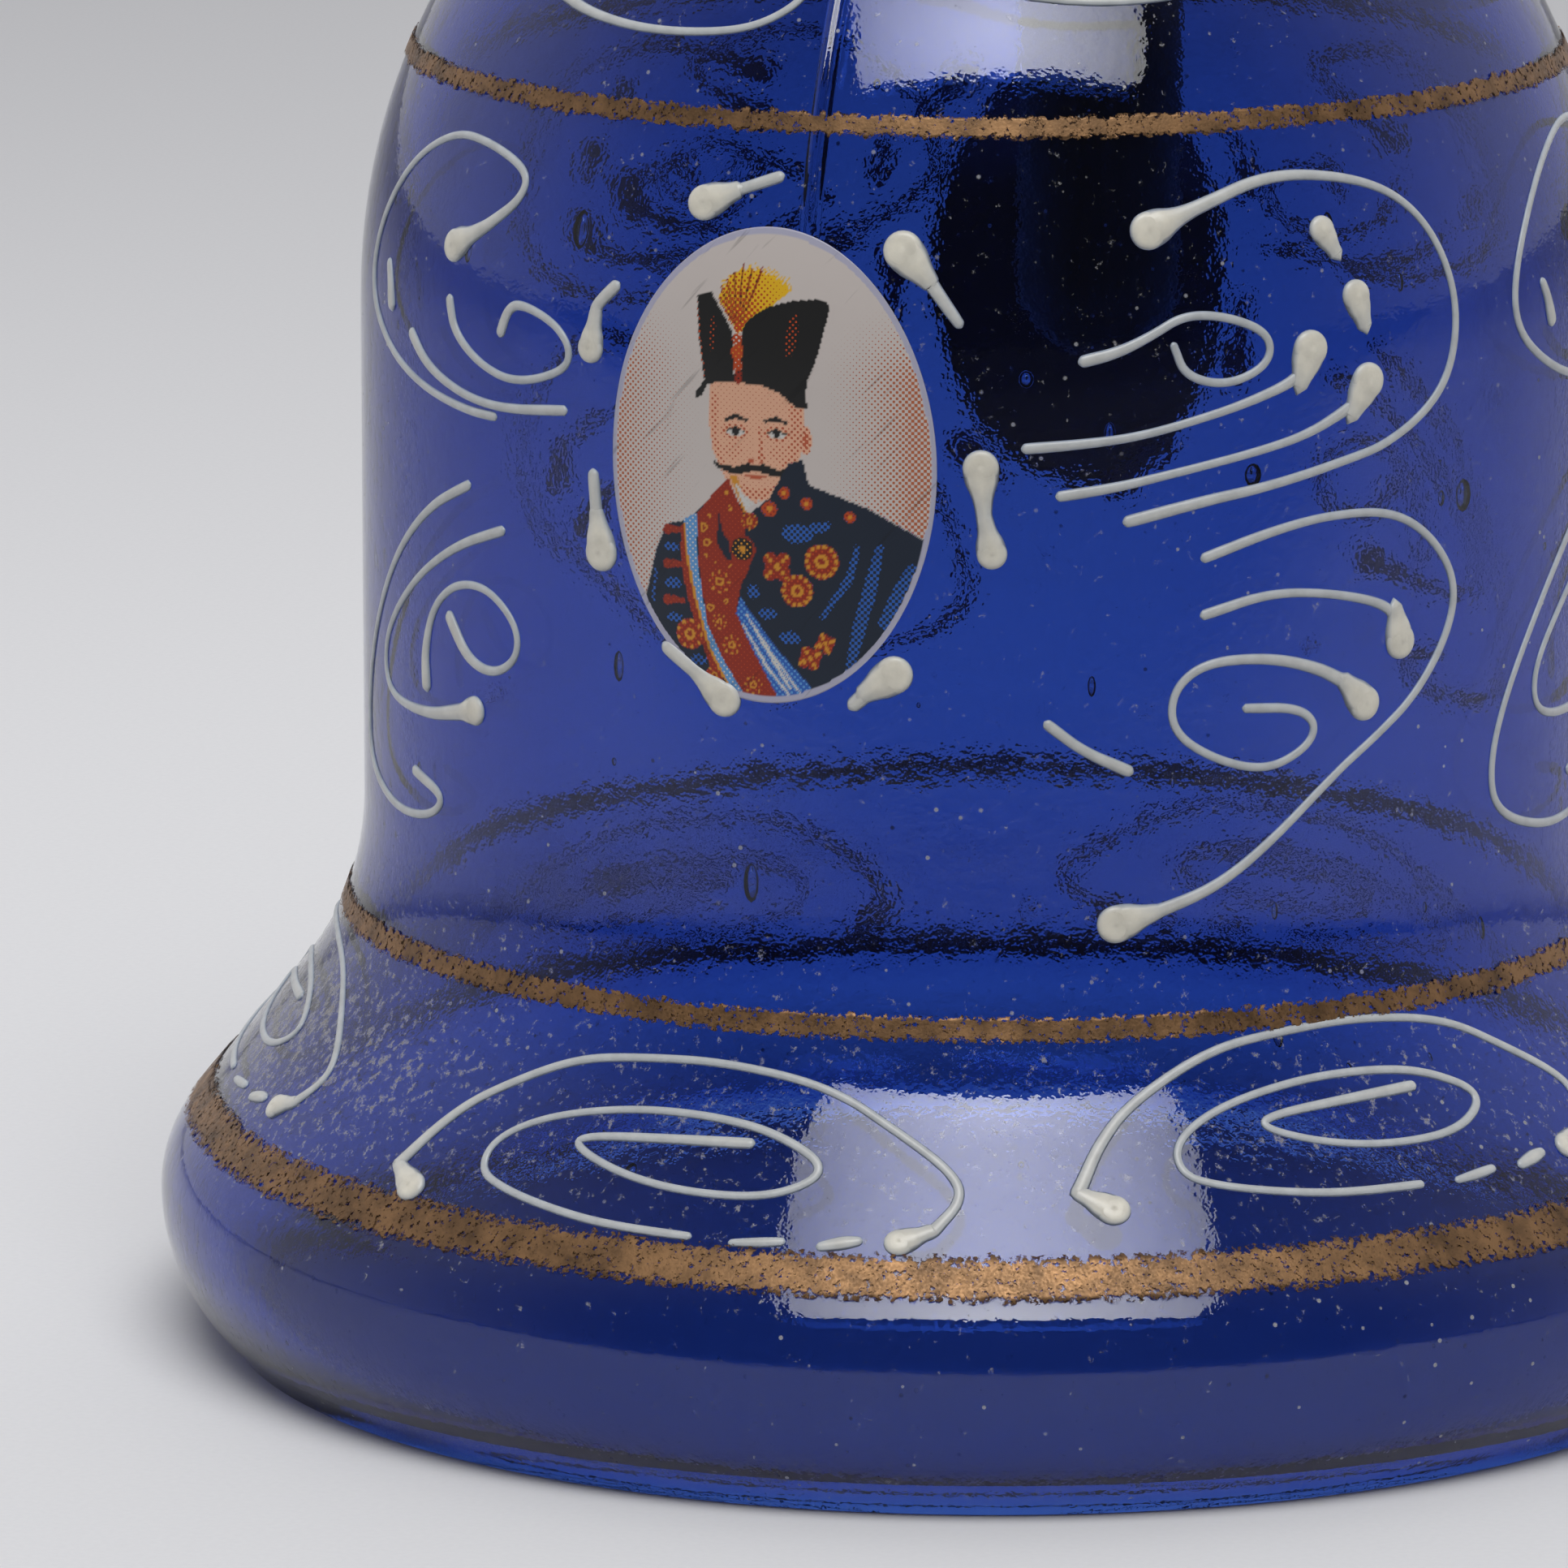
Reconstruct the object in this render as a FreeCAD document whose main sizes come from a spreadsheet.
import FreeCAD, Part
import math
import os

import Sketcher
from FreeCAD import Placement, Rotation, Vector

# Blown glass hand bell with a glass handle and a free-hanging wooden clapper.
# The origin is on the bell's axis, on the surface that its ground foot stands on. +Z is up, and
# the front portrait faces -Y. Lengths are in millimetres and angles in degrees.

SIZES = {
    # blown bell: outer wall
    "rimRadius": 45.2,
    "rimHeight": 7.85,
    "lipUnderRadius": 9.85,
    "lipOverRadius": 6.0,
    "footInset": 3.3,
    "flareCurve": 17.0,
    "flareAngle": 39.4,
    "bodyRadius": 33.9,
    "shoulderHeight": 57.0,
    "shoulderRadius": 35.0,
    "collarRadius": 9.0,
    "collarRise": 37.0,
    # blown bell: inner wall
    "wall": 2.4,
    "mouthInset": 4.9,
    "seatRadius": 6.2,
    "seatRise": 32.2,
    # fired decoration
    "giltThickness": 0.12,
    "rimBandHeight": 12.8,
    "rimBandWidth": 2.3,
    "waistBandHeight": 24.1,
    "waistBandWidth": 1.6,
    "upperBandRise": 13.7,
    "upperBandWidth": 1.3,
    "portraitDrop": 3.8,
    "portraitHalfWidth": 9.0,
    "portraitHalfHeight": 12.4,
    "backPortraitTurn": 190.0,
    # clamp stack through the crown
    "studRadius": 2.0,
    "studSink": 4.2,
    "studProud": 0.8,
    "threadGap": 0.05,
    "boreGap": 0.3,
    "leatherRadius": 8.6,
    "leatherThickness": 1.0,
    "bushWall": 1.2,
    "bushGap": 0.35,
    "corkThickness": 1.0,
    "corkRadius": 5.8,
    "washerThickness": 0.7,
    "washerRadius": 5.4,
    "nutThickness": 2.2,
    "nutAcrossFlats": 7.0,
    # brass ferrule
    "ferruleBaseRadius": 10.4,
    "ferruleBaseHeight": 1.6,
    "ferruleWaistRadius": 6.9,
    "ferruleWaistHeight": 5.4,
    "ferruleCupRadius": 8.4,
    "ferruleHeight": 11.0,
    "socketFloor": 4.6,
    # glass handle
    "tenonRadius": 4.6,
    "cementGap": 0.2,
    "beadCentreRadius": 5.2,
    "beadRadius": 2.2,
    "stemRadius": 4.2,
    "stemLength": 3.4,
    "stemCurve": 9.0,
    "bulbRadius": 8.0,
    "bulbCurve": 32.0,
    "neckRadius": 3.6,
    "neckCurve": 8.0,
    "knobRadius": 7.4,
    "knobCapDepth": 2.6,
    # clapper
    "wireRadius": 0.8,
    "hookBallRadius": 1.0,
    "eyeletRadius": 4.0,
    "eyeletThickness": 1.8,
    "hookReach": 6.4,
    "hookCurve": 1.8,
    "linkWire": 0.6,
    "linkRadius": 2.6,
    "eyeWire": 0.6,
    "eyeRadius": 2.0,
    "swingGap": 0.1,
    "screwRadius": 0.7,
    "screwLength": 7.6,
    "rodGap": 0.2,
    "rodRadius": 4.35,
    "rodLength": 21.9,
}

HOOK_TIP_TURN = 60.0
EYELET_OVERLAP = 0.6
BLIND_DEPTH = 0.4
AXIS_LINE = -2
AXES_ORIGIN = -1
START, END, CENTRE = 1, 2, 3

doc = FreeCAD.newDocument("GlassBell")
sheet = doc.addObject("Spreadsheet::Sheet", "Size")
for row, (alias, number) in enumerate(SIZES.items(), start=1):
    sheet.set(f"A{row}", alias)
    sheet.set(f"B{row}", str(number))
    sheet.setAlias(f"B{row}", alias)
doc.recompute()


class Term:
    """A size from the sheet, or a sum of sizes: its value now, and the same sum as an expression."""

    def __init__(self, value, text):
        self.value = value
        self.text = text

    def __add__(self, other):
        other = as_term(other)
        return Term(self.value + other.value, f"({self.text} + {other.text})")

    def __sub__(self, other):
        other = as_term(other)
        return Term(self.value - other.value, f"({self.text} - {other.text})")

    def __mul__(self, factor):
        return Term(self.value * factor, f"({self.text} * {factor})")


def as_term(number):
    return number if isinstance(number, Term) else Term(number, f"({number})")


class Sizes:
    """Reads the sheet: sizes.wall is the cell with the alias wall."""

    def __getattr__(self, alias):
        return Term(float(sheet.get(alias)), f"Size.{alias}")


sizes = Sizes()
COLLAR_TOP = sizes.shoulderHeight + sizes.collarRise
SEAT_HEIGHT = sizes.shoulderHeight + sizes.seatRise


# ---------------------------------------------------------------- document helpers

def bind(item, **terms):
    for name, term in terms.items():
        item.setExpression(name, as_term(term).text)
    return item


def place(item, x=None, y=None, z=None, rotation=None):
    if rotation is not None:
        item.Placement = Placement(Vector(0, 0, 0), rotation)
    for axis, term in (("x", x), ("y", y), ("z", z)):
        if term is not None:
            item.setExpression(f"Placement.Base.{axis}", as_term(term).text)
    return item


def primitive(kind, name, **terms):
    return bind(doc.addObject(f"Part::{kind}", name), **terms)


def cut(name, base, tool):
    item = doc.addObject("Part::Cut", name)
    item.Base = base
    item.Tool = tool
    return item


def common(name, base, tool):
    item = doc.addObject("Part::Common", name)
    item.Base = base
    item.Tool = tool
    return item


def fuse(name, shapes):
    item = doc.addObject("Part::MultiFuse", name)
    item.Shapes = shapes
    item.Refine = True
    return item


def origin_plane(body, role):
    return next(item for item in body.Origin.OriginFeatures if item.Role == role)


def new_body(name):
    body = doc.addObject("PartDesign::Body", name)
    body.Label = name
    return body


def new_sketch(body, name, role="XZ_Plane"):
    sketch = body.newObject("Sketcher::SketchObject", name)
    sketch.AttachmentSupport = (origin_plane(body, role), [""])
    sketch.MapMode = "FlatFace"
    return sketch


def revolve(body, sketch, kind="Revolution"):
    feature = body.newObject(f"PartDesign::{kind}", f"{sketch.Name}_{kind}")
    feature.Profile = sketch
    feature.ReferenceAxis = (sketch, ["V_Axis"])
    feature.Angle = 360.0
    sketch.Visibility = False
    return feature


class Outline:
    """A closed half section in a sketch, drawn upwards, with every size tied to the sheet."""

    def __init__(self, sketch):
        self.sketch = sketch

    def line(self, start, end):
        return self.sketch.addGeometry(Part.LineSegment(Vector(*start, 0), Vector(*end, 0)))

    def arc(self, centre, radius, low, high):
        circle = Part.Circle(Vector(*centre, 0), Vector(0, 0, 1), radius)
        return self.sketch.addGeometry(Part.ArcOfCircle(circle, math.radians(low), math.radians(high)))

    def tie(self, kind, *places):
        self.sketch.addConstraint(Sketcher.Constraint(kind, *places))

    def size(self, kind, *places_and_term):
        *places, term = places_and_term
        term = as_term(term)
        index = self.sketch.addConstraint(Sketcher.Constraint(kind, *places, term.value))
        self.sketch.setExpression(f"Constraints[{index}]", term.text)

    def angle(self, piece, term):
        """Turns a line to this many degrees from the section's horizontal."""
        index = self.sketch.addConstraint(Sketcher.Constraint("Angle", piece, math.radians(term.value)))
        self.sketch.setExpression(f"Constraints[{index}]", f"{term.text} * 1 deg")

    def across(self, piece, point, term):
        self.size("DistanceX", AXES_ORIGIN, START, piece, point, term)

    def up(self, piece, point, term):
        self.size("DistanceY", AXES_ORIGIN, START, piece, point, term)

    def on_axis(self, piece, point):
        self.tie("PointOnObject", piece, point, AXIS_LINE)


def turned(name, corners):
    """A body turned about Z from corners, each a radius and a height."""
    body = new_body(name)
    outline = Outline(new_sketch(body, f"{name}_section"))
    corners = [(as_term(radius), as_term(height)) for radius, height in corners]
    spots = [(radius.value, height.value) for radius, height in corners]
    count = len(spots)
    for index in range(count):
        outline.line(spots[index], spots[(index + 1) % count])
    for index in range(count):
        outline.tie("Coincident", index, END, (index + 1) % count, START)
    for index, (radius, height) in enumerate(corners):
        outline.across(index, START, radius)
        outline.up(index, START, height)
    revolve(body, outline.sketch)
    return body


def ring(name, inner, outer, low, high):
    return turned(name, [(inner, low), (outer, low), (outer, high), (inner, high)])


# ---------------------------------------------------------------- blown bell

def bell_section(sketch, outset, foot_radius, foot_height, neck_radius, neck_top):
    """Half section of the bell's wall, moved outwards by outset.

    It runs up from the foot: rolled lip, straight flare, hollow curve, straight body, round
    shoulder and crown. The curves share their centres, so sections with different outsets stay
    the same distance apart.
    """
    outset = as_term(outset)
    under = sizes.lipUnderRadius + outset
    over = sizes.lipOverRadius + outset
    hollow = sizes.flareCurve - outset
    body_radius = sizes.bodyRadius + outset
    shoulder = sizes.shoulderRadius + outset
    under_x = (sizes.rimRadius - sizes.lipUnderRadius).value
    over_x = (sizes.rimRadius - sizes.lipOverRadius).value
    hollow_x = (sizes.bodyRadius + sizes.flareCurve).value
    rim_z = sizes.rimHeight.value
    shoulder_x = (sizes.bodyRadius - sizes.shoulderRadius).value
    shoulder_z = sizes.shoulderHeight.value

    # the flare's straight part touches the lip's arc and the hollow arc from opposite sides
    slope = sizes.flareAngle.value
    out, along = math.cos(math.radians(slope)), math.sin(math.radians(slope))
    flare_z = rim_z + (over.value + hollow.value - (hollow_x - over_x) * out) / along
    flare_low = (over_x + over.value * out, rim_z + over.value * along)
    flare_high = (hollow_x - hollow.value * out, flare_z - hollow.value * along)

    foot_turn = -math.degrees(math.acos((foot_radius.value - under_x) / under.value))
    foot_rise = under.value * math.sin(math.radians(foot_turn))
    neck_turn = math.degrees(math.acos((neck_radius.value - shoulder_x) / shoulder.value))
    neck_rise = shoulder.value * math.sin(math.radians(neck_turn))
    foot_low = (foot_radius.value, foot_height.value)
    foot_high = (foot_radius.value, rim_z + foot_rise)
    neck_low = (neck_radius.value, shoulder_z + neck_rise)
    neck_high = (neck_radius.value, neck_top.value)

    outline = Outline(sketch)
    base = outline.line((0, foot_height.value), foot_low)
    foot = outline.line(foot_low, foot_high)
    lip_under = outline.arc((under_x, rim_z), under.value, foot_turn, 0)
    lip_over = outline.arc((over_x, rim_z), over.value, 0, slope)
    flare = outline.line(flare_low, flare_high)
    curve = outline.arc((hollow_x, flare_z), hollow.value, 180, 180 + slope)
    side = outline.line((body_radius.value, flare_z), (body_radius.value, shoulder_z))
    dome = outline.arc((shoulder_x, shoulder_z), shoulder.value, 0, neck_turn)
    neck = outline.line(neck_low, neck_high)
    top = outline.line(neck_high, (0, neck_top.value))
    axis = outline.line((0, neck_top.value), (0, foot_height.value))

    outline.tie("Coincident", base, END, foot, START)
    outline.tie("Coincident", foot, END, lip_under, START)
    outline.tie("Coincident", lip_under, END, lip_over, START)
    outline.tie("Tangent", lip_over, END, flare, START)
    outline.tie("Tangent", flare, END, curve, END)
    outline.tie("Tangent", curve, START, side, START)
    outline.tie("Tangent", side, END, dome, START)
    outline.tie("Coincident", dome, END, neck, START)
    outline.tie("Coincident", neck, END, top, START)
    outline.tie("Coincident", top, END, axis, START)
    outline.tie("Coincident", axis, END, base, START)
    for level in (base, top):
        outline.tie("Horizontal", level)
    for upright in (foot, side, neck):
        outline.tie("Vertical", upright)
    outline.tie("Horizontal", lip_under, CENTRE, lip_under, END)
    outline.on_axis(base, START)
    outline.on_axis(top, END)

    outline.up(base, START, foot_height)
    outline.across(lip_under, START, foot_radius)
    outline.across(lip_under, CENTRE, sizes.rimRadius - sizes.lipUnderRadius)
    outline.up(lip_under, CENTRE, sizes.rimHeight)
    outline.size("Radius", lip_under, under)
    outline.up(lip_over, CENTRE, sizes.rimHeight)
    outline.size("Radius", lip_over, over)
    outline.angle(flare, sizes.flareAngle + 90)
    outline.size("Radius", curve, hollow)
    outline.across(side, END, body_radius)
    outline.up(side, END, sizes.shoulderHeight)
    outline.size("Radius", dome, shoulder)
    outline.across(dome, END, neck_radius)
    outline.up(neck, END, neck_top)


def outer_form(name, outset):
    """Solid form of the bell's outside, grown by outset."""
    body = new_body(name)
    sketch = new_sketch(body, f"{name}_section")
    bell_section(sketch, outset, sizes.rimRadius - sizes.footInset, as_term(0),
                 sizes.collarRadius, COLLAR_TOP)
    revolve(body, sketch)
    return body


def make_bell_glass():
    hole_radius = sizes.studRadius + sizes.threadGap + sizes.bushWall + sizes.bushGap
    body = outer_form("bell_glass", 0)
    cavity = new_sketch(body, "bell_cavity")
    bell_section(cavity, sizes.wall * -1, sizes.rimRadius - sizes.mouthInset, sizes.wall * -1,
                 sizes.seatRadius, SEAT_HEIGHT)
    revolve(body, cavity, "Groove")
    hole = new_sketch(body, "crown_hole", "XY_Plane")
    hole.addGeometry(Part.Circle(Vector(0, 0, 0), Vector(0, 0, 1), hole_radius.value))
    hole.addConstraint(Sketcher.Constraint("Coincident", 0, CENTRE, AXES_ORIGIN, START))
    Outline(hole).size("Radius", 0, hole_radius)
    pocket = body.newObject("PartDesign::Pocket", "crown_bore")
    pocket.Profile = hole
    pocket.Reversed = True
    pocket.Type = "ThroughAll"
    hole.Visibility = False
    return body


# ---------------------------------------------------------------- fired decoration

def make_decoration():
    """Gilt bands and portraits: one thin fired skin over the outer wall, cut to each outline."""
    inner = outer_form("plain_form", 0)
    outer = outer_form("skin_form", sizes.giltThickness)
    skin = cut("skin", outer, inner)
    nodes = []
    bands = {
        "gilt_rim_band": (sizes.rimBandHeight, sizes.rimBandWidth),
        "gilt_waist_band": (sizes.waistBandHeight, sizes.waistBandWidth),
        "gilt_upper_band": (sizes.shoulderHeight + sizes.upperBandRise, sizes.upperBandWidth),
    }
    for name, (height, width) in bands.items():
        zone = primitive("Cylinder", f"{name}_zone", Radius=sizes.rimRadius * 2, Height=width)
        place(zone, z=height - width * 0.5)
        nodes.append(common(name, skin, zone))
    for name, turn in (("front_portrait", as_term(0)), ("back_portrait", sizes.backPortraitTurn)):
        oval = primitive("Ellipse", f"{name}_oval", MajorRadius=sizes.portraitHalfHeight,
                         MinorRadius=sizes.portraitHalfWidth)
        upright = Rotation(Vector(1, 0, 0), 90) * Rotation(Vector(0, 0, 1), 90)
        place(oval, z=sizes.shoulderHeight - sizes.portraitDrop, rotation=upright)
        prism = doc.addObject("Part::Extrusion", f"{name}_prism")
        prism.Base = oval
        prism.DirMode = "Custom"
        prism.Dir = Vector(0, -1, 0)
        prism.Solid = True
        bind(prism, LengthFwd=sizes.rimRadius)
        prism.setExpression("Placement.Rotation.Angle", turn.text)
        nodes.append(common(name, skin, prism))
    return nodes


# ---------------------------------------------------------------- clamp stack

def make_clamp_stack():
    """Leather, bush, cork, brass washer and nut that hold the stud in the crown hole."""
    clear = sizes.studRadius + sizes.boreGap
    leather_top = COLLAR_TOP + sizes.leatherThickness
    leather = ring("crown_washer_leather", clear, sizes.leatherRadius, COLLAR_TOP, leather_top)
    bush = ring("crown_bush", sizes.studRadius + sizes.threadGap,
                sizes.studRadius + sizes.threadGap + sizes.bushWall,
                SEAT_HEIGHT + sizes.boreGap, COLLAR_TOP - sizes.boreGap)
    cork_low = SEAT_HEIGHT - sizes.corkThickness
    cork = ring("inner_washer_cork", clear, sizes.corkRadius, cork_low, SEAT_HEIGHT)
    brass_low = cork_low - sizes.washerThickness
    washer = ring("inner_washer_brass", clear, sizes.washerRadius, brass_low, cork_low)

    nut_top = brass_low - sizes.eyeletThickness
    nut_low = nut_top - sizes.nutThickness
    blank = primitive("Prism", "nut_blank", Circumradius=sizes.nutAcrossFlats * (1 / math.sqrt(3)),
                      Height=sizes.nutThickness)
    blank.Polygon = 6
    place(blank, z=nut_low, rotation=Rotation(Vector(0, 0, 1), 30))
    thread = primitive("Cylinder", "nut_thread", Radius=sizes.studRadius + sizes.threadGap,
                       Height=sizes.nutThickness)
    place(thread, z=nut_low)
    nut = cut("stud_nut", blank, thread)

    stud_low, stud_top = nut_low - sizes.studProud, leather_top + sizes.studSink
    stud = primitive("Cylinder", "handle_stud", Radius=sizes.studRadius, Height=stud_top - stud_low)
    place(stud, z=stud_low)
    return [leather, bush, cork, washer, nut, stud], leather_top, brass_low


# ---------------------------------------------------------------- handle

def make_ferrule(base):
    bore = sizes.studRadius + sizes.threadGap
    socket = sizes.tenonRadius + sizes.cementGap
    top = base + sizes.ferruleHeight
    floor = base + sizes.socketFloor
    return turned("handle_ferrule", [
        (bore, base),
        (sizes.ferruleBaseRadius, base),
        (sizes.ferruleBaseRadius, base + sizes.ferruleBaseHeight),
        (sizes.ferruleWaistRadius, base + sizes.ferruleBaseHeight * 2),
        (sizes.ferruleWaistRadius, base + sizes.ferruleWaistHeight),
        (sizes.ferruleCupRadius, base + sizes.ferruleWaistHeight + sizes.ferruleBaseHeight),
        (sizes.ferruleCupRadius, top),
        (socket, top),
        (socket, floor),
        (bore, floor),
    ])


def rise_between(first, second, sideways):
    """Height between the centres of two arcs that touch, which are this far apart sideways."""
    reach = first + second
    value = math.sqrt(reach.value ** 2 - sideways.value ** 2)
    return Term(value, f"sqrt({reach.text}^2 - {sideways.text}^2)")


def handle_centres(bead_low):
    """Centres of the handle's arcs from the stem up, each a radius and a height."""
    stem_top = bead_low + sizes.beadRadius * 2 + sizes.stemLength
    stem = (sizes.stemRadius + sizes.stemCurve, stem_top)
    bulb_x = sizes.bulbRadius - sizes.bulbCurve
    bulb = (bulb_x, stem[1] + rise_between(sizes.bulbCurve, sizes.stemCurve, stem[0] - bulb_x))
    neck_x = sizes.neckRadius + sizes.neckCurve
    neck = (neck_x, bulb[1] + rise_between(sizes.bulbCurve, sizes.neckCurve, neck_x - bulb_x))
    knob = (as_term(0), neck[1] + rise_between(sizes.knobRadius, sizes.neckCurve, neck_x))
    return stem, bulb, neck, knob


def make_handle(ferrule_base):
    """Solid glass handle: tenon, bead, stem, swelling grip, neck and knob, turned in one piece."""
    body = new_body("handle_glass")
    outline = Outline(new_sketch(body, "handle_section"))
    tenon_low = ferrule_base + sizes.socketFloor + sizes.cementGap
    bead_low = ferrule_base + sizes.ferruleHeight
    bead_x, bead = sizes.beadCentreRadius, sizes.beadRadius
    bead_z = bead_low + bead
    bead_top = bead_low + bead * 2
    (stem_x, stem_z), (bulb_x, bulb_z), (neck_x, neck_z), (_, knob_z) = handle_centres(bead_low)
    stem_top = stem_z
    stem_z, bulb_z, neck_z, knob_z = stem_z.value, bulb_z.value, neck_z.value, knob_z.value
    low_turn = math.degrees(math.atan2(stem_z - bulb_z, (stem_x - bulb_x).value))
    high_turn = math.degrees(math.atan2(neck_z - bulb_z, (neck_x - bulb_x).value))
    knob_turn = math.degrees(math.atan2(neck_z - knob_z, neck_x.value))

    tenon, stem = sizes.tenonRadius.value, sizes.stemRadius.value
    base = outline.line((0, tenon_low.value), (tenon, tenon_low.value))
    wall = outline.line((tenon, tenon_low.value), (tenon, bead_low.value))
    shelf = outline.line((tenon, bead_low.value), (bead_x.value, bead_low.value))
    bulge = outline.arc((bead_x.value, bead_z.value), bead.value, -90, 90)
    step = outline.line((bead_x.value, bead_top.value), (stem, bead_top.value))
    shaft = outline.line((stem, bead_top.value), (stem, stem_z))
    low = outline.arc((stem_x.value, stem_z), sizes.stemCurve.value, 180 + low_turn, 180)
    bulb = outline.arc((bulb_x.value, bulb_z), sizes.bulbCurve.value, low_turn, high_turn)
    high = outline.arc((neck_x.value, neck_z), sizes.neckCurve.value, 180 + knob_turn, 180 + high_turn)
    knob = outline.arc((0, knob_z), sizes.knobRadius.value, knob_turn, 90)
    axis = outline.line((0, knob_z + sizes.knobRadius.value), (0, tenon_low.value))

    outline.tie("Coincident", base, END, wall, START)
    outline.tie("Coincident", wall, END, shelf, START)
    outline.tie("Coincident", shelf, END, bulge, START)
    outline.tie("Coincident", bulge, END, step, START)
    outline.tie("Coincident", step, END, shaft, START)
    outline.tie("Tangent", shaft, END, low, END)
    outline.tie("Tangent", low, START, bulb, START)
    outline.tie("Tangent", bulb, END, high, END)
    outline.tie("Tangent", high, START, knob, START)
    outline.tie("Coincident", knob, END, axis, START)
    outline.tie("Coincident", axis, END, base, START)
    for level in (base, shelf, step):
        outline.tie("Horizontal", level)
    for upright in (wall, shaft):
        outline.tie("Vertical", upright)
    outline.tie("Vertical", bulge, CENTRE, bulge, START)
    outline.tie("Vertical", bulge, CENTRE, bulge, END)
    outline.on_axis(base, START)
    outline.on_axis(knob, CENTRE)
    outline.on_axis(knob, END)

    outline.up(base, START, tenon_low)
    outline.across(wall, START, sizes.tenonRadius)
    outline.up(shelf, END, bead_low)
    outline.across(shelf, END, bead_x)
    outline.size("Radius", bulge, bead)
    outline.across(shaft, END, sizes.stemRadius)
    outline.up(shaft, END, stem_top)
    outline.size("Radius", low, sizes.stemCurve)
    outline.size("Radius", bulb, sizes.bulbCurve)
    outline.across(bulb, CENTRE, bulb_x)
    outline.size("Radius", high, sizes.neckCurve)
    outline.across(high, CENTRE, neck_x)
    outline.size("Radius", knob, sizes.knobRadius)
    revolve(body, outline.sketch)
    return body


def gilding(name, cover, core, zone):
    """The part of a thin cover over a core that lies inside a zone."""
    return common(name, cut(f"{name}_skin", cover, core), zone)


def make_handle_gilding(ferrule_base):
    """Gilt line round the bead and gilt cap on the knob."""
    bead_low = ferrule_base + sizes.ferruleHeight
    bead_z = bead_low + sizes.beadRadius
    covers = []
    for name, radius in (("bead_cover", sizes.beadRadius + sizes.giltThickness),
                         ("bead_core", sizes.beadRadius)):
        covers.append(primitive("Torus", name, Radius1=sizes.beadCentreRadius, Radius2=radius))
        place(covers[-1], z=bead_z)
    zone = ring("bead_zone", sizes.beadCentreRadius, sizes.ferruleBaseRadius,
                bead_z - sizes.beadRadius * 0.5, bead_z + sizes.beadRadius * 0.5)
    bead = gilding("gilt_handle_bead", *covers, zone)

    knob_z = handle_centres(bead_low)[-1][1]
    covers = []
    for name, radius in (("knob_cover", sizes.knobRadius + sizes.giltThickness),
                         ("knob_core", sizes.knobRadius)):
        covers.append(place(primitive("Sphere", name, Radius=radius), z=knob_z))
    zone = primitive("Cylinder", "knob_zone", Radius=sizes.ferruleBaseRadius, Height=sizes.knobRadius)
    place(zone, z=knob_z + sizes.knobRadius - sizes.knobCapDepth)
    return [bead, gilding("gilt_handle_knob", *covers, zone)]


# ---------------------------------------------------------------- clapper

def make_hook(brass_low):
    """Eyelet clamped by the nut, an arm to one side, and a C-shaped hook that opens inwards."""
    wire = sizes.wireRadius
    eyelet_low = brass_low - sizes.eyeletThickness
    arm_z = brass_low - sizes.eyeletThickness * 0.5
    eyelet = primitive("Cylinder", "eyelet", Radius=sizes.eyeletRadius,
                       Height=sizes.eyeletThickness)
    place(eyelet, z=eyelet_low)
    arm_start = sizes.eyeletRadius - EYELET_OVERLAP
    arm = primitive("Cylinder", "hook_arm", Radius=wire, Height=sizes.hookReach - arm_start)
    place(arm, x=arm_start, z=arm_z, rotation=Rotation(Vector(0, 1, 0), 90))
    bend = primitive("Torus", "hook_bend", Radius1=sizes.hookCurve, Radius2=wire)
    bend.Angle3 = 180 + HOOK_TIP_TURN
    turn = Rotation(Vector(1, 0, 0), 90) * Rotation(Vector(0, 0, 1), -90 - HOOK_TIP_TURN)
    place(bend, x=sizes.hookReach, z=arm_z - sizes.hookCurve, rotation=turn)
    tip = primitive("Sphere", "hook_tip", Radius=sizes.hookBallRadius)
    place(tip, x=sizes.hookReach - sizes.hookCurve * math.sin(math.radians(HOOK_TIP_TURN)),
          z=arm_z - sizes.hookCurve - sizes.hookCurve * math.cos(math.radians(HOOK_TIP_TURN)))
    bore = primitive("Cylinder", "eyelet_bore", Radius=sizes.studRadius + sizes.threadGap,
                     Height=sizes.eyeletThickness)
    place(bore, z=eyelet_low)
    hook = cut("clapper_hook", fuse("hook_wire", [eyelet, arm, bend, tip]), bore)
    return hook, arm_z - sizes.hookCurve * 2


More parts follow.
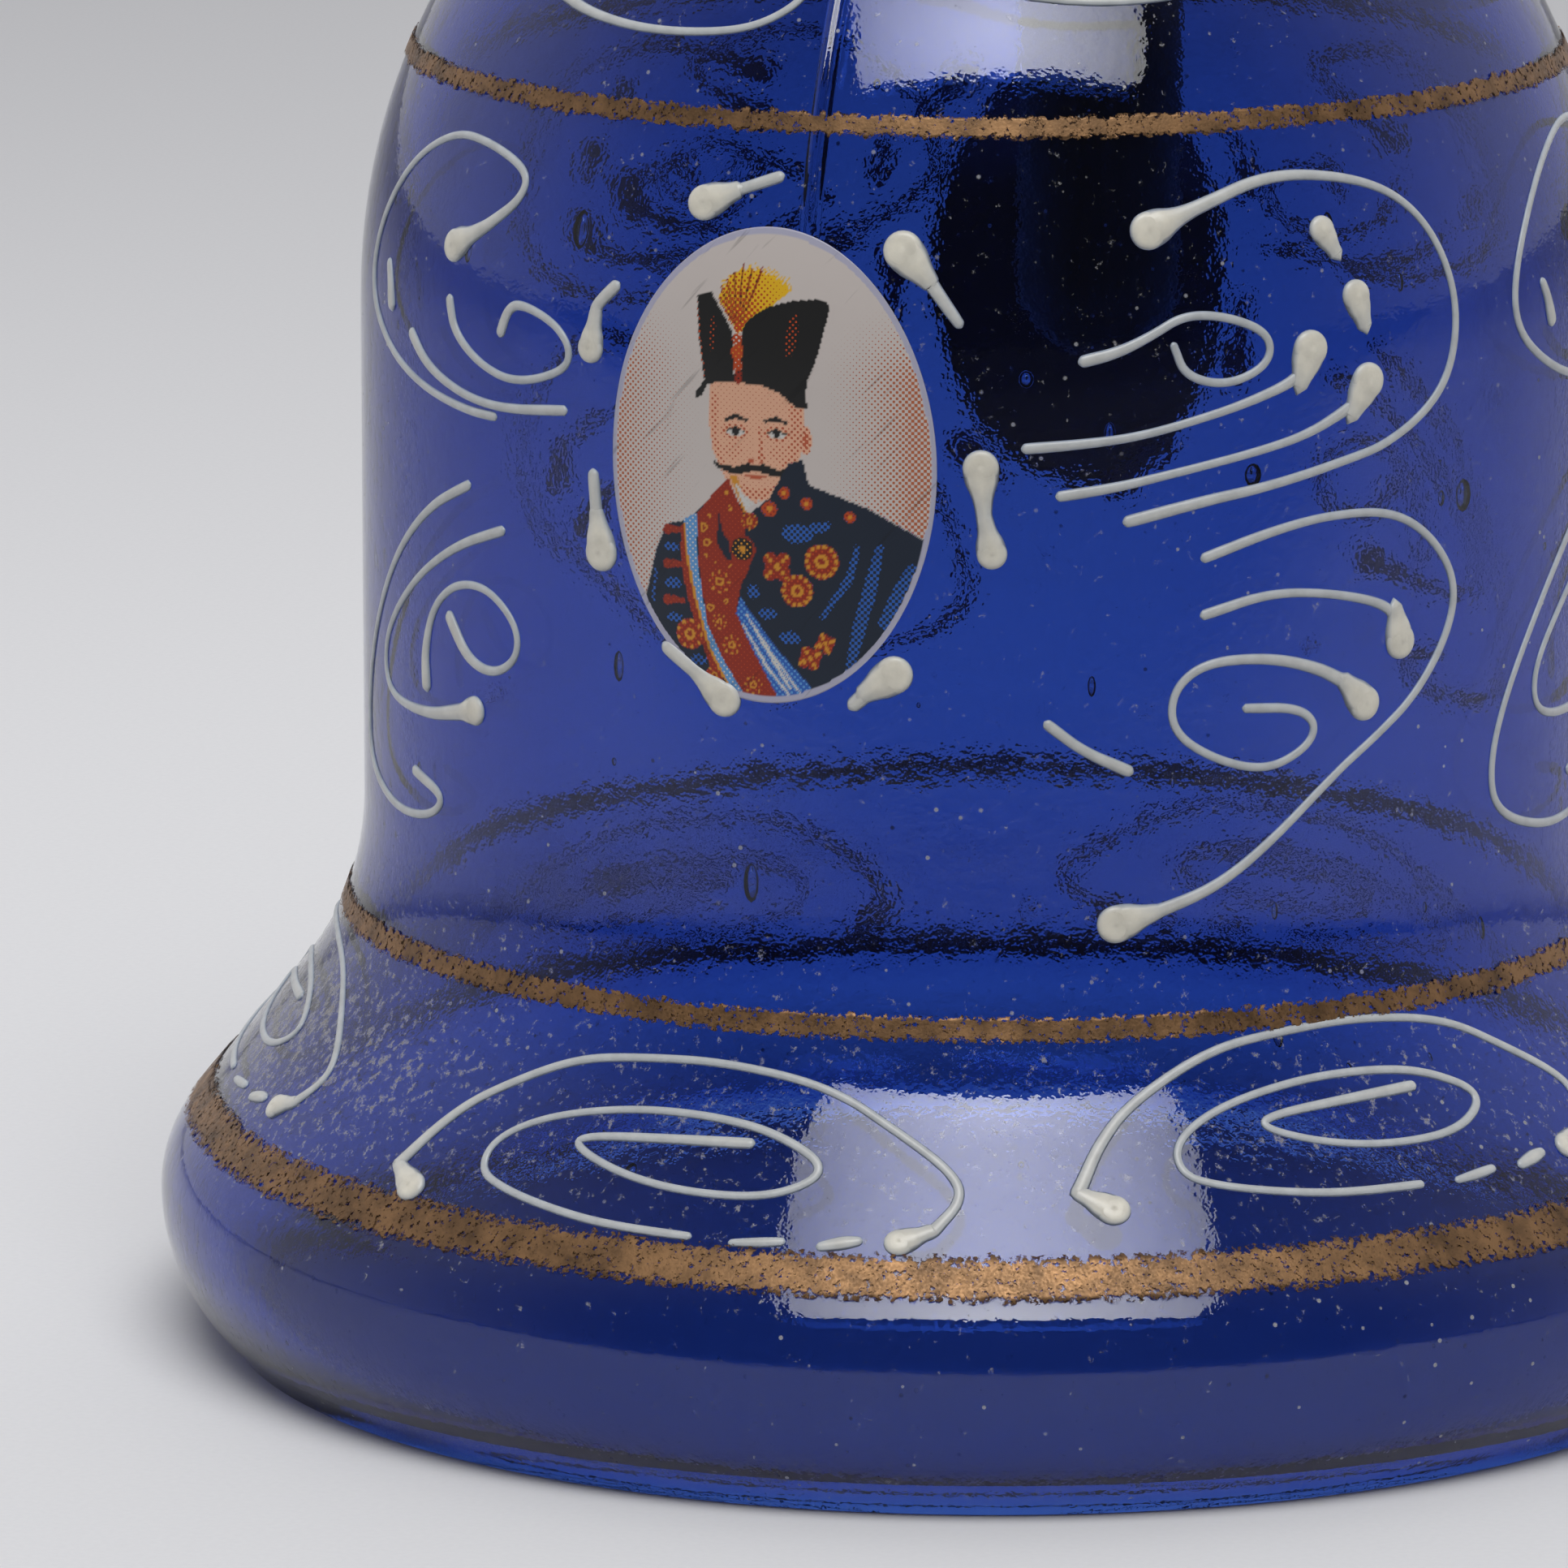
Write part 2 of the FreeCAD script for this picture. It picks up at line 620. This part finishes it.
def make_clapper(hook_low):
    """Link ring, screw eye and wooden rod, hanging straight down from the hook's lowest point."""
    link_top = hook_low + sizes.wireRadius + sizes.swingGap + sizes.linkWire
    link_low = link_top - sizes.linkRadius * 2
    link = primitive("Torus", "clapper_link", Radius1=sizes.linkRadius, Radius2=sizes.linkWire)
    place(link, x=sizes.hookReach, z=link_top - sizes.linkRadius, rotation=Rotation(Vector(0, 1, 0), 90))

    eye_top = link_low + sizes.linkWire + sizes.swingGap + sizes.eyeWire
    eye_low = eye_top - sizes.eyeRadius * 2
    loop = primitive("Torus", "eye_loop", Radius1=sizes.eyeRadius, Radius2=sizes.eyeWire)
    place(loop, x=sizes.hookReach, z=eye_top - sizes.eyeRadius, rotation=Rotation(Vector(1, 0, 0), 90))
    screw = primitive("Cylinder", "eye_screw", Radius=sizes.screwRadius, Height=sizes.screwLength)
    place(screw, x=sizes.hookReach, z=eye_low - sizes.screwLength)
    eye = fuse("clapper_eye", [loop, screw])

    rod_top = eye_low - sizes.eyeWire - sizes.rodGap
    rod_end = rod_top - sizes.rodLength
    rod_body = primitive("Cylinder", "rod_body", Radius=sizes.rodRadius,
                         Height=sizes.rodLength - sizes.rodRadius)
    place(rod_body, x=sizes.hookReach, z=rod_end + sizes.rodRadius)
    rod_nose = primitive("Sphere", "rod_nose", Radius=sizes.rodRadius)
    place(rod_nose, x=sizes.hookReach, z=rod_end + sizes.rodRadius)
    blank = fuse("rod_blank", [rod_body, rod_nose])
    pilot_low = eye_low - sizes.screwLength - BLIND_DEPTH
    pilot = primitive("Cylinder", "rod_pilot", Radius=sizes.screwRadius + sizes.threadGap,
                      Height=rod_top - pilot_low)
    place(pilot, x=sizes.hookReach, z=pilot_low)
    rod = cut("clapper_rod", blank, pilot)
    return [link, eye, rod], link_low


# ---------------------------------------------------------------- assembly and checks

bell = make_bell_glass()
decoration = make_decoration()
stack, ferrule_base, brass_low = make_clamp_stack()
ferrule = make_ferrule(ferrule_base)
handle = make_handle(ferrule_base)
handle_gilding = make_handle_gilding(ferrule_base)
hook, hook_low = make_hook(brass_low)
clapper, link_low = make_clapper(hook_low)
nodes = [bell, *decoration, *stack, ferrule, handle, *handle_gilding, hook, *clapper]

doc.recompute()
for item in doc.Objects:
    if "Invalid" in item.State or "Error" in item.State:
        raise RuntimeError(f"{item.Label} failed to recompute: {item.State}")
for node in nodes:
    if node.Shape.isNull() or not node.Shape.isValid() or not node.Shape.Solids:
        raise RuntimeError(f"{node.Label} is not a valid solid")

os.makedirs("parts", exist_ok=True)
for node in nodes:
    node.Shape.exportStep(f"parts/{node.Label}.step")
    box = node.Shape.optimalBoundingBox()
    print(f"{node.Label:22s} z {box.ZMin:7.2f} to {box.ZMax:7.2f}  r {max(box.XMax, -box.XMin):6.2f}"
          f"  volume {node.Shape.Volume / 1000:8.3f} ml  solids {len(node.Shape.Solids)}")
print(f"link hinge at x {sizes.hookReach.value:.3f} z {hook_low.value:.3f}")
print(f"clapper hinge at x {sizes.hookReach.value:.3f} z {link_low.value:.3f}")
